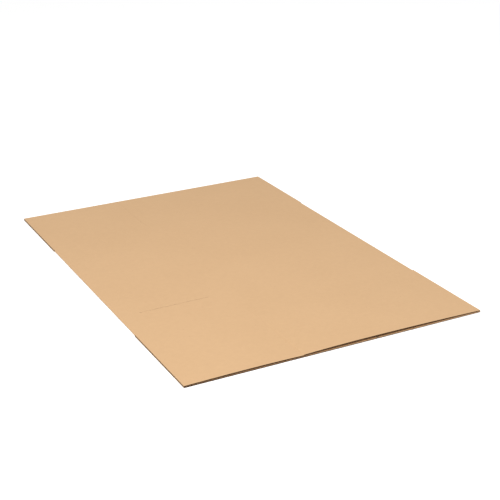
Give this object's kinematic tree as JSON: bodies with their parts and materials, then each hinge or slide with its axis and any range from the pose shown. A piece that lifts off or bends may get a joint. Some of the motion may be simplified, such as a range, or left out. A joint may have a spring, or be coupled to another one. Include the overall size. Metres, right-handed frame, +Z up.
{
  "type": "flattened cardboard box",
  "caption": "Knocked-down slotted carton of thin corrugated board, folded flat into two layers, with full-overlap end flaps and push-in hand slits.",
  "frame": {"origin": "on the underside, in the middle of the flat carton's box", "axes": "+X across the panels, from one side fold to the other; +Y along the flutes, from the front flaps to the back flaps; +Z up"},
  "size_m": [0.48, 0.72, 0.0058],
  "materials": {
    "kraft_board": "matt kraft liner"
  },
  "bodies": {
    "root": {"flat_carton": "kraft_board"}
  },
  "joints": []
}
